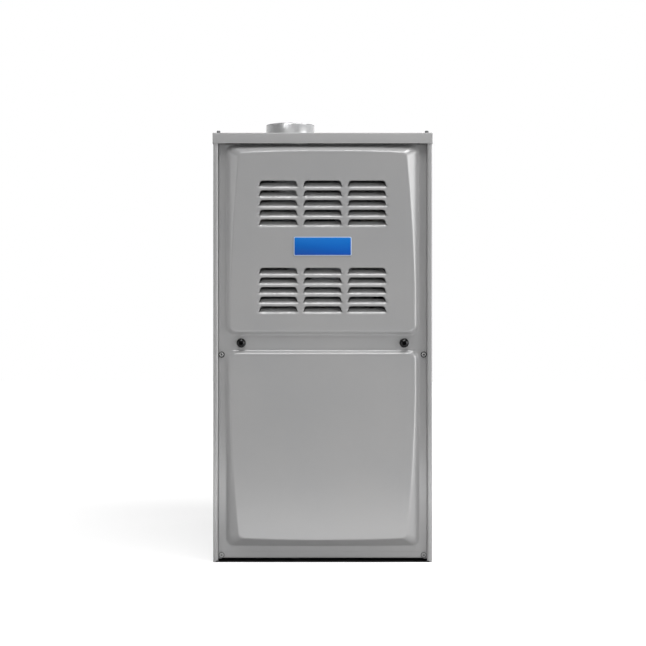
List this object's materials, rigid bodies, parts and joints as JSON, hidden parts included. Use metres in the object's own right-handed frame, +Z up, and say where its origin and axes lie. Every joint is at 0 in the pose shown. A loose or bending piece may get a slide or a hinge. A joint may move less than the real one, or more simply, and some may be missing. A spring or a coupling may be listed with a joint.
{
  "type": "forced air gas furnace",
  "caption": "Upflow forced-air gas furnace in a sheet-steel cabinet, with two lift-off pressed doors, louvers, latch knobs, a flue collar and its burners, heat exchanger and blower inside.",
  "frame": {"origin": "on the floor under the centre of the cabinet wrap's footprint", "axes": "+Z up, the doors face -Y, +X is the right side seen from the front"},
  "size_m": [0.4458, 0.7482, 0.898],
  "materials": {
    "cabinet_paint": "satin grey powder paint",
    "galvanised_steel": "galvanised, light spangle",
    "aluminised_steel": "matt aluminised coating",
    "liner_foil": "foil-faced blanket",
    "inducer_steel": "dull grey coating",
    "dark_enamel": "semi-gloss black enamel",
    "black_plastic": "moulded, slight gloss",
    "matte_black_plastic": "moulded, matt",
    "bright_steel": "ground",
    "zinc_screws": "zinc plated",
    "dark_screws": "dark zinc",
    "valve_casting": "die cast",
    "black_pipe": "black pipe",
    "brass": "turned",
    "ceramic": "unglazed",
    "rubber": "soft",
    "red_rubber": "silicone",
    "red_plastic": "moulded",
    "white_plastic": "moulded",
    "circuit_board": "solder mask",
    "core_iron": "varnished laminations",
    "capacitor_can": "drawn can",
    "badge_blue": "gloss blue, bare"
  },
  "bodies": {
    "cabinet": {"base_pan": "cabinet_paint", "base_screws": "zinc_screws", "blower_deck": "galvanised_steel", "blower_housing": "galvanised_steel", "blower_motor": "dark_enamel", "blower_rails": "galvanised_steel", "burner_left": "aluminised_steel", "burner_middle": "aluminised_steel", "burner_rack": "galvanised_steel", "burner_right": "aluminised_steel", "cabinet_wrapper": "cabinet_paint", "cap_screws": "dark_screws", "collector_box": "aluminised_steel", "control_board": "circuit_board", "control_panel": "galvanised_steel", "door_switch": "matte_black_plastic", "flame_sensor": "ceramic", "flue_collar": "galvanised_steel", "flue_pipe": "galvanised_steel", "gas_grommet": "rubber", "gas_manifold": "black_pipe", "gas_valve": "valve_casting", "heat_exchanger_left": "aluminised_steel", "heat_exchanger_middle": "aluminised_steel", "heat_exchanger_right": "aluminised_steel", "igniter": "ceramic", "inducer_housing": "inducer_steel", "inducer_motor": "dark_enamel", "insulation_liner": "liner_foil", "junction_box": "galvanised_steel", "junction_cover": "galvanised_steel", "latch_receivers": "galvanised_steel", "limit_switch": "matte_black_plastic", "motor_mount": "galvanised_steel", "orifices": "brass", "pressure_hose": "red_rubber", "pressure_switch": "matte_black_plastic", "rollout_switch": "matte_black_plastic", "run_capacitor": "capacitor_can", "side_plug": "matte_black_plastic", "top_cap": "cabinet_paint", "transformer": "core_iron", "vestibule_panel": "galvanised_steel", "wire_harness": "matte_black_plastic"},
    "inducer_rotor": {"inducer_wheel": "inducer_steel", "inducer_shaft": "bright_steel", "cooling_fan": "matte_black_plastic"},
    "blower_rotor": {"blower_wheel": "galvanised_steel", "motor_shaft": "bright_steel"},
    "valve_knob": {"gas_valve_knob": "black_plastic"},
    "reset": {"reset_button": "red_plastic"},
    "plunger": {"switch_plunger": "white_plastic"},
    "upper_door": {"upper_door": "cabinet_paint", "badge_plate": "badge_blue"},
    "left_knob": {"left_knob": "black_plastic"},
    "right_knob": {"right_knob": "black_plastic"},
    "lower_door": {"lower_door": "cabinet_paint", "door_screws": "zinc_screws"}
  },
  "joints": [
    {"name": "upper_door_off", "type": "slide", "parent": "cabinet", "child": "upper_door", "axis": [0, -1, 0], "range_m": [0, 0.18]},
    {"name": "lower_door_off", "type": "slide", "parent": "cabinet", "child": "lower_door", "axis": [0, -1, 0], "range_m": [0, 0.18]},
    {"name": "left_knob_turn", "type": "hinge", "parent": "upper_door", "child": "left_knob", "pos_m": [-0.165, -0.3568, 0.4425], "axis": [0, -1, 0], "range_deg": [0, 90]},
    {"name": "right_knob_turn", "type": "hinge", "parent": "upper_door", "child": "right_knob", "pos_m": [0.165, -0.3568, 0.4425], "axis": [0, -1, 0], "range_deg": [0, 90]},
    {"name": "blower_spin", "type": "hinge", "parent": "cabinet", "child": "blower_rotor", "pos_m": [0, 0.072, 0.204], "axis": [1, 0, 0], "continuous": true},
    {"name": "inducer_spin", "type": "hinge", "parent": "cabinet", "child": "inducer_rotor", "pos_m": [0, -0.2405, 0.665], "axis": [0, -1, 0], "continuous": true},
    {"name": "valve_knob_turn", "type": "hinge", "parent": "cabinet", "child": "valve_knob", "pos_m": [0.1628, -0.332, 0.5], "axis": [0, -1, 0], "range_deg": [0, 90]},
    {"name": "reset_push", "type": "slide", "parent": "cabinet", "child": "reset", "axis": [0, 0, -1], "range_m": [0, 0.0015], "stiffness_N_per_m": 200},
    {"name": "plunger_travel", "type": "slide", "parent": "cabinet", "child": "plunger", "axis": [0, -1, 0], "range_m": [0, 0.0045]}
  ],
  "couplings": [
    {"joint": "plunger_travel", "follows": "lower_door_off", "ratio": 0.025}
  ]
}
